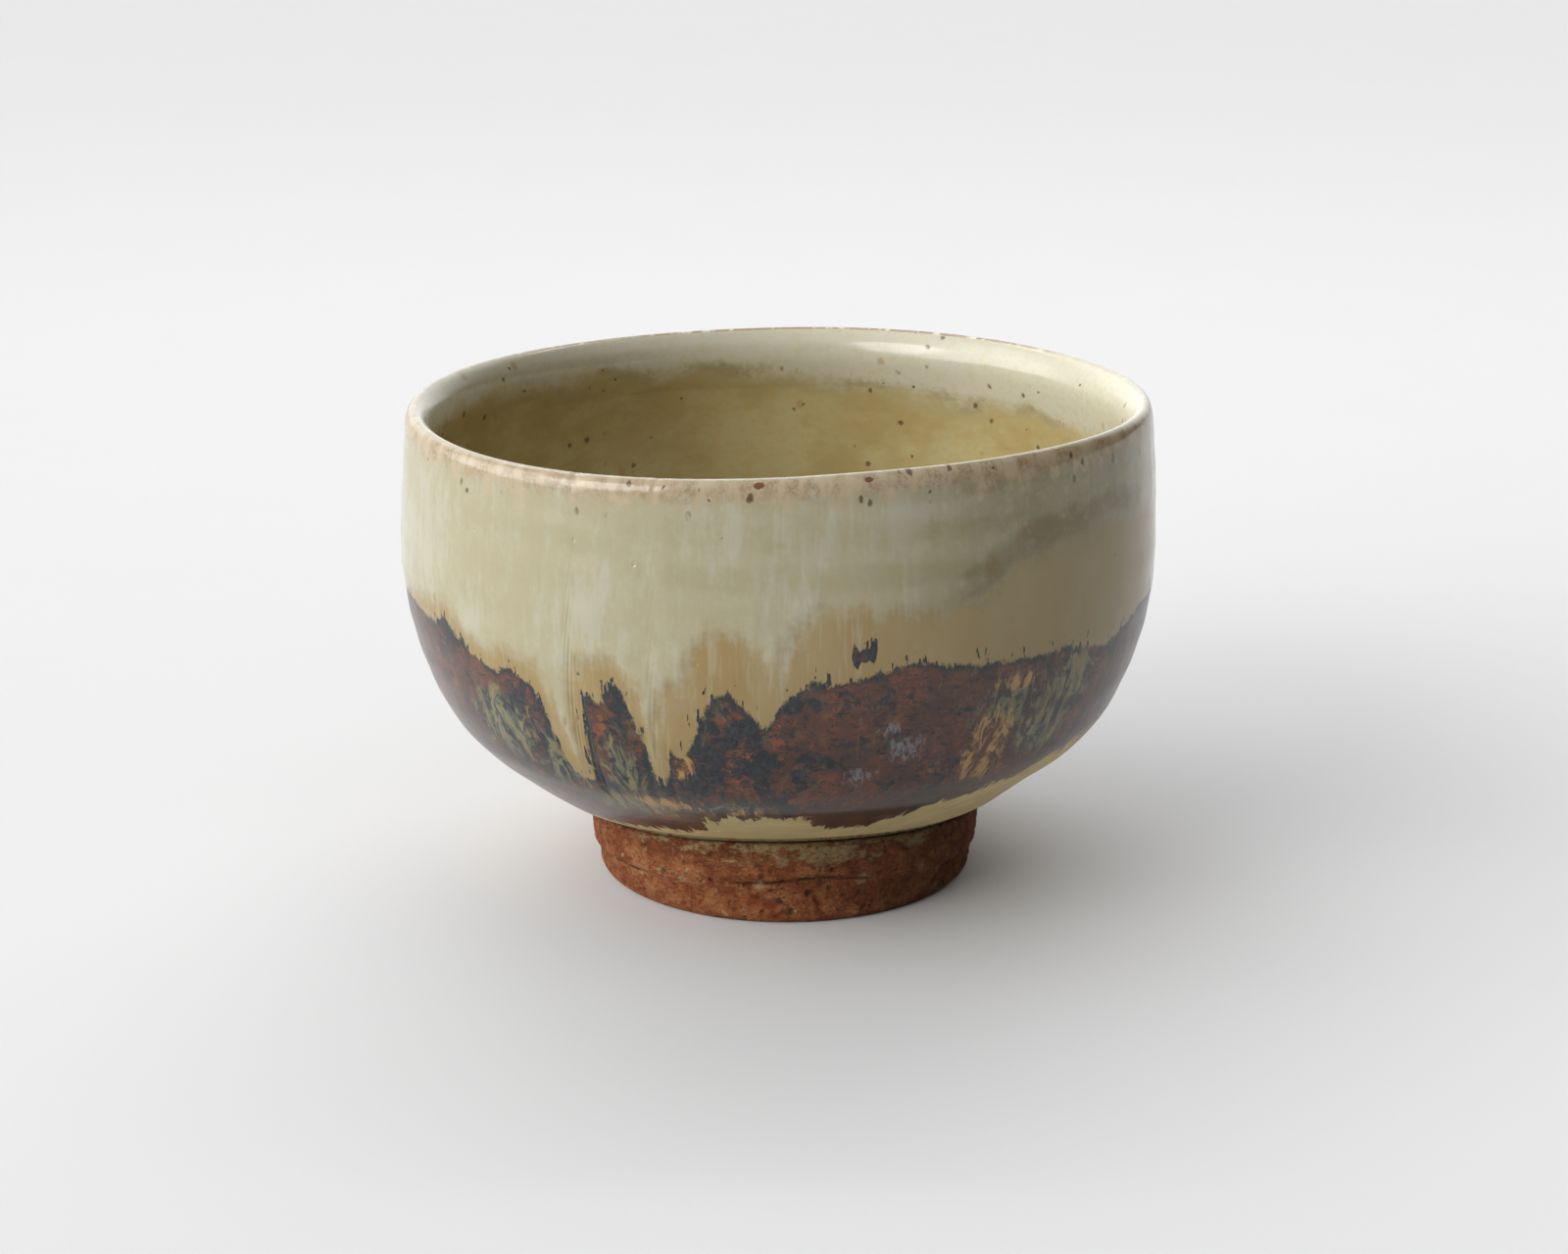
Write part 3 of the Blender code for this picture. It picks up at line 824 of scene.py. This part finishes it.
def speckled(n, shade, iron, inside, mottled):
    """Dark specks in the ash glazes, closer together inside, with rust round some and on the lip."""
    uneven = n.warped(n.place(), 0.8, 0.7)
    specks = n.specks(uneven, 4.2, 0.5, 0.16)
    inner_specks = n.times(n.specks(uneven, 2.6, 0.62, 0.32), inside)
    shade = n.mix(n.times(n.most(specks, inner_specks), n.opposite(iron), 0.8), shade, SPECK)
    halos = n.times(n.specks(n.warped(n.place((1.2, 1, 1)), 1.0, 1.0), 4.2, 1.1, 0.22), inside)
    shade = n.mix(n.times(halos, 0.45), shade, RUST_HALO)
    rust = n.plus(n.map("rust"), n.sway(mottled, 0.9))
    return n.mix(n.ease(rust, 0.4, 0.55), shade, RUST)


def glaze_group():
    """A node group with the colour, roughness and height of every coat, so that they match at a seam."""
    group = bpy.data.node_groups.new("glazes", "ShaderNodeTree")
    sockets = {"Color": "NodeSocketColor", "Roughness": "NodeSocketFloat", "Height": "NodeSocketFloat"}
    for name, kind in sockets.items():
        group.interface.new_socket(name, in_out="OUTPUT", socket_type=kind)
    n = Nodes(group)

    streaky = n.noise(n.run(0.10), 2.4, detail=4.0, roughness=0.6)
    mottled = n.noise(n.place(), 1.6, detail=3.0, roughness=0.65)
    rugged = n.noise(n.place((1, 1, 1.4)), 2.2, detail=5.0, roughness=0.72)
    iron, halo = iron_reach(n)
    skirt, skirt_rim = skirt_reach(n, rugged)
    inside = n.opposite(n.ease(n.map("lip_depth"), -0.5, 0.5))

    iron_shade, bloom = fired_runs(n, iron_glaze(n))
    iron_shade = n.mix(n.times(skirt_rim, 0.7), iron_shade, IRON_BROWN)
    shade = n.mix(iron, ash_glazes(n, halo, mottled, rugged, streaky), iron_shade)
    shade = n.mix(skirt, shade, skirt_glaze(n))
    shade = n.mix(inside, shade, lining_glaze(n))
    shade = speckled(n, lip_glaze(n, shade), iron, inside, mottled)

    roughness = n.plus(n.between(mottled, 0.07, 0.21), n.times(iron, 0.1), n.times(bloom, iron, 0.2))
    roughness = n.plus(roughness, n.times(skirt, 0.3))
    peel = n.times(n.noise(n.place(), 1.7, detail=2.0), 0.016)
    swell = n.times(n.noise(n.place((1, 1, 1.5)), 6.0, detail=2.0), 0.06)
    pin_holes = n.times(n.specks(n.place(), 3.0, 0.5, 0.16), -0.05)
    height = n.plus(peel, swell, pin_holes, n.times(iron, n.plus(rugged, mottled), 0.05))
    n.add("NodeGroupOutput", {"Color": shade, "Roughness": roughness, "Height": height})
    return group


def skirt_glaze(n):
    """The thin buff glaze that the iron stopped short of."""
    clouds = n.noise(n.place((1, 1, 2)), 5.0, detail=3.0, roughness=0.6)
    return n.mix(n.ease(clouds, 0.35, 0.65), SKIRT_GREEN, SKIRT)


def lining_glaze(n):
    """The olive glaze inside, and the pale band that melts into it from the lip past a brown line."""
    drifts = n.noise(n.place((0.6, 0.6, 1.2)), 6.0, detail=4.0, roughness=0.55)
    fine = n.noise(n.place(), 1.3, detail=4.0, roughness=0.75)
    clouds = n.noise(n.place((0.7, 0.7, 1.2)), 11.0, detail=5.0, roughness=0.65)
    depth = n.plus(n.map("lining_depth"), n.sway(drifts, 7.0), n.sway(fine, 3.0))
    olive = n.mix(n.ease(clouds, 0.38, 0.62), OLIVE_DEEP, OLIVE)
    olive = n.mix(n.times(n.ease(fine, 0.47, 0.62), 0.45), olive, OLIVE_WARM)
    pale = n.mix(n.times(n.ease(fine, 0.45, 0.65), 0.35), LINING_PALE, OLIVE)
    shade = n.mix(n.ease(depth, -2.5, 3.5), pale, olive)
    edge = n.times(n.ease(depth, -1.0, 1.0), n.opposite(n.ease(depth, 1.0, 4.0)))
    line = n.times(edge, n.ease(clouds, 0.44, 0.56))
    return n.mix(n.times(line, 0.5), shade, LINING_BROWN)


def lip_glaze(n, shade):
    """The lip, where the glaze is thin and sandy over the clay, with brown drips and specks under it."""
    lip = n.map("lip_depth")
    sand = n.noise(n.place(), 0.7, detail=4.0, roughness=0.8)
    clumps = n.noise(n.run(0.5), 2.6, detail=4.0, roughness=0.65)
    uneven = n.plus(lip, n.sway(clumps, 9.0), n.sway(sand, 4.0))
    sandy = n.mix(n.times(n.ease(clumps, 0.40, 0.62), 0.85), LIP_SAND, LIP_BROWN)
    sandy = n.mix(n.times(n.ease(sand, 0.44, 0.62), 0.8), sandy, LIP_PALE)
    under = n.times(n.ease(lip, 0.2, 1.0), n.opposite(n.ease(uneven, 2.7, 5.5)))
    shade = n.mix(n.times(under, 0.85), shade, sandy)
    dots = n.specks(n.warped(n.run(0.6), 0.8, 0.6), 1.4, 0.55, 0.36)
    dots = n.times(dots, n.opposite(n.ease(uneven, 4, 8)), n.ease(lip, -0.5, 0.3))
    shade = n.mix(n.times(dots, 0.85), shade, SPECK)
    crest = n.opposite(n.ease(n.math("ABSOLUTE", n.plus(lip, 0.2)), 0.4, 0.9))
    crest = n.times(crest, n.ease(clumps, 0.36, 0.50), n.map("worn"))
    return n.mix(n.times(crest, 0.85), shade, LIP_LINE)


def glaze_material(name, glazes):
    """A glossy coat that takes its colour from the shared map of the glazes."""
    material, n, shader = new_material(name)
    group = n.add("ShaderNodeGroup", node_tree=glazes)
    n.feed(shader.inputs["Base Color"], group.outputs["Color"])
    n.feed(shader.inputs["Roughness"], group.outputs["Roughness"])
    n.feed(shader.inputs["Normal"], n.bump(group.outputs["Height"]))
    shader.inputs["IOR"].default_value = GLAZE_IOR
    return material


def bare_clay(name, light, deep):
    """Coarse bare stoneware: red-brown, matt, with pale grog and dark iron specks, and painted shade in its
    pits, in its crack and down the right side of the foot.
    """
    material, n, shader = new_material(name)
    clouds = n.noise(n.place((1, 1, 1.6)), 5.0, detail=6.0, roughness=0.7)
    grain = n.noise(n.warped(n.place((1, 1, 1.4)), 1.5, 1.0), 0.8, detail=5.0, roughness=0.8)
    shade = n.mix(n.ease(clouds, 0.40, 0.60), deep, light)
    shade = n.mix(n.times(n.ease(grain, 0.50, 0.62), 0.7), shade, CLAY_DARK)
    shade = n.mix(n.times(n.opposite(n.ease(grain, 0.34, 0.46)), 0.45), shade, CLAY_BRIGHT)
    grog = n.specks(n.warped(n.place(), 0.8, 1.6), 3.2, 1.4, 0.26)
    fine_grog = n.specks(n.warped(n.place(), 0.5, 0.6), 1.2, 0.5, 0.12)
    shade = n.mix(n.times(n.most(grog, fine_grog), 0.7), shade, GROG)
    specks = n.specks(n.warped(n.place((1.1, 1, 1)), 0.8, 0.7), 1.7, 0.8, 0.16)
    shade = n.mix(n.times(specks, 0.8), shade, CLAY_BURNT_AND_SHADE)
    pitted = n.noise(n.warped(n.place((1, 1, 1.5)), 0.8, 1.0), 1.0, detail=3.0, roughness=0.7)
    pits = n.ease(pitted, 0.58, 0.68)
    pit_rims = n.times(n.ease(pitted, 0.50, 0.56), n.opposite(n.ease(pitted, 0.57, 0.60)))
    crumbs = n.times(pit_rims, n.ease(clouds, 0.48, 0.62))
    shade = n.mix(n.times(crumbs, 0.55), shade, GROG)
    # Painted shade in the pits.
    shade = n.mix(n.times(pits, 0.75), shade, CLAY_BURNT_AND_SHADE)
    shade, glassy = foot_smears(n, shade)
    # Painted shade down the right side of the foot.
    shade = n.mix(n.times(n.map("painted_side_shade"), 0.45), shade, CLAY_BURNT_AND_SHADE)
    # Painted shade in the crack under the ridge.
    crack = n.times(n.map("crack"), n.ease(clouds, 0.38, 0.52))
    shade = n.mix(n.times(n.ease(crack, 0.25, 0.8), 0.85), shade, CLAY_BURNT_AND_SHADE)
    n.feed(shader.inputs["Base Color"], shade)
    n.feed(shader.inputs["Roughness"], n.plus(n.between(grain, 0.78, 0.95), n.times(glassy, -0.35)))
    height = n.plus(n.times(grain, 0.9), n.times(clouds, 0.6), n.times(pits, -0.3), n.times(grog, 0.1))
    n.feed(shader.inputs["Normal"], n.bump(height))
    shader.inputs["Specular IOR Level"].default_value = 0.2
    return material


def foot_smears(n, shade):
    """Thin glaze that lies in patches on the ledge at the top of the foot, with the clay darker towards
    that top.
    """
    where = n.add("ShaderNodeTexCoord").outputs["Object"]
    level = n.times(n.add("ShaderNodeSeparateXYZ", {0: where}).outputs[2], 1 / MM)
    patches = n.noise(n.place((1, 1, 2.5)), 7.0, detail=5.0, roughness=0.65)
    fine = n.noise(n.place((1, 1, 2.0)), 1.1, detail=4.0, roughness=0.75)
    reach = n.plus(level, n.sway(patches, 15.0), n.sway(fine, 7.0))
    # Darker towards the top of the foot, just under the bowl.
    shade = n.mix(n.times(n.ease(reach, 9.2, 11.5), 0.5), shade, CLAY_DARK)
    smear = n.times(n.ease(reach, 11.4, 13.4), n.ease(fine, 0.36, 0.50))
    return n.mix(n.times(smear, 0.75), shade, SKIRT_GREEN), smear


# === Studio ===================================================================
def pale_floor():
    """A wide pale floor with a hardly visible grain."""
    mesh = bpy.data.meshes.new("floor")
    half = FLOOR_SIZE / 2
    corners = [(-half, -half, 0), (half, -half, 0), (half, half, 0), (-half, half, 0)]
    mesh.from_pydata(corners, [], [(0, 1, 2, 3)])
    floor = bpy.data.objects.new("floor", mesh)
    bpy.context.scene.collection.objects.link(floor)
    material, n, shader = new_material("floor_paper")
    grain = n.noise(n.place(), 40.0, detail=2.0)
    n.feed(shader.inputs["Base Color"], n.mix(grain, FLOOR_SHADE, FLOOR))
    shader.inputs["Roughness"].default_value = 0.9
    shader.inputs["Specular IOR Level"].default_value = 0.1
    mesh.materials.append(material)


def studio_light():
    """A dark dome with soft lights at the left, behind and overhead."""
    world = bpy.data.worlds.new("studio")
    bpy.context.scene.world = world
    world.use_nodes = True
    world.node_tree.nodes.clear()
    n = Nodes(world.node_tree)
    way = n.add("ShaderNodeTexCoord").outputs["Generated"]
    strength = DOME_DIM
    for azimuth, elevation, edge, core, power in DOME_LIGHTS:
        inputs = {0: way, 1: direction(azimuth, elevation)}
        towards = n.add("ShaderNodeVectorMath", inputs, operation="DOT_PRODUCT").outputs["Value"]
        strength = n.plus(strength, n.times(n.ease(towards, edge, core), power))
    background = n.add("ShaderNodeBackground", {"Color": colour(DOME_TINT), "Strength": strength})
    n.add("ShaderNodeOutputWorld", {"Surface": background.outputs[0]})


def softboxes():
    """Lamps that make the long glints on the lip and the wall."""
    for name, place, size, power in SOFTBOXES:
        data = bpy.data.lights.new(name, "AREA")
        data.shape = "RECTANGLE"
        data.size, data.size_y = size
        data.energy = power
        lamp = bpy.data.objects.new(name, data)
        lamp.location = place
        lamp.rotation_mode = "QUATERNION"
        lamp.rotation_quaternion = (Vector(place) - Vector(SOFTBOX_AIM)).to_track_quat("Z", "Y")
        bpy.context.scene.collection.objects.link(lamp)


def direction(azimuth, elevation):
    """A unit vector at these degrees from the front, positive to the right, and degrees above the floor."""
    turn, rise = math.radians(azimuth), math.radians(elevation)
    return Vector((math.sin(turn) * math.cos(rise), -math.cos(turn) * math.cos(rise), math.sin(rise)))


def camera():
    """The camera, a little above the bowl in front and aimed near its middle."""
    data = bpy.data.cameras.new("camera")
    data.lens = LENS
    made = bpy.data.objects.new("camera", data)
    aim = Vector(CAMERA_AIM) * MM
    back = direction(0, CAMERA_ELEVATION)
    made.location = aim + back * CAMERA_DISTANCE * MM
    made.rotation_mode = "QUATERNION"
    made.rotation_quaternion = back.to_track_quat("Z", "Y")
    bpy.context.scene.collection.objects.link(made)
    bpy.context.scene.camera = made
    bpy.context.scene.view_settings.view_transform = "Standard"


def build():
    """The seven pieces of the bowl and the studio round them."""
    wall = Wall()
    glazes = glaze_group()
    for piece_name, band, node, slot in COATS:
        piece = coat(piece_name, wall, band, node)
        piece.data.materials.append(glaze_material(piece_name + "_look", glazes))
    clay_body().data.materials.append(bare_clay("stoneware_look", CLAY, CLAY_DEEP))
    foot().data.materials.append(bare_clay("foot_look", FOOT_CLAY, FOOT_CLAY_DEEP))
    pale_floor()
    studio_light()
    softboxes()
    camera()


build()
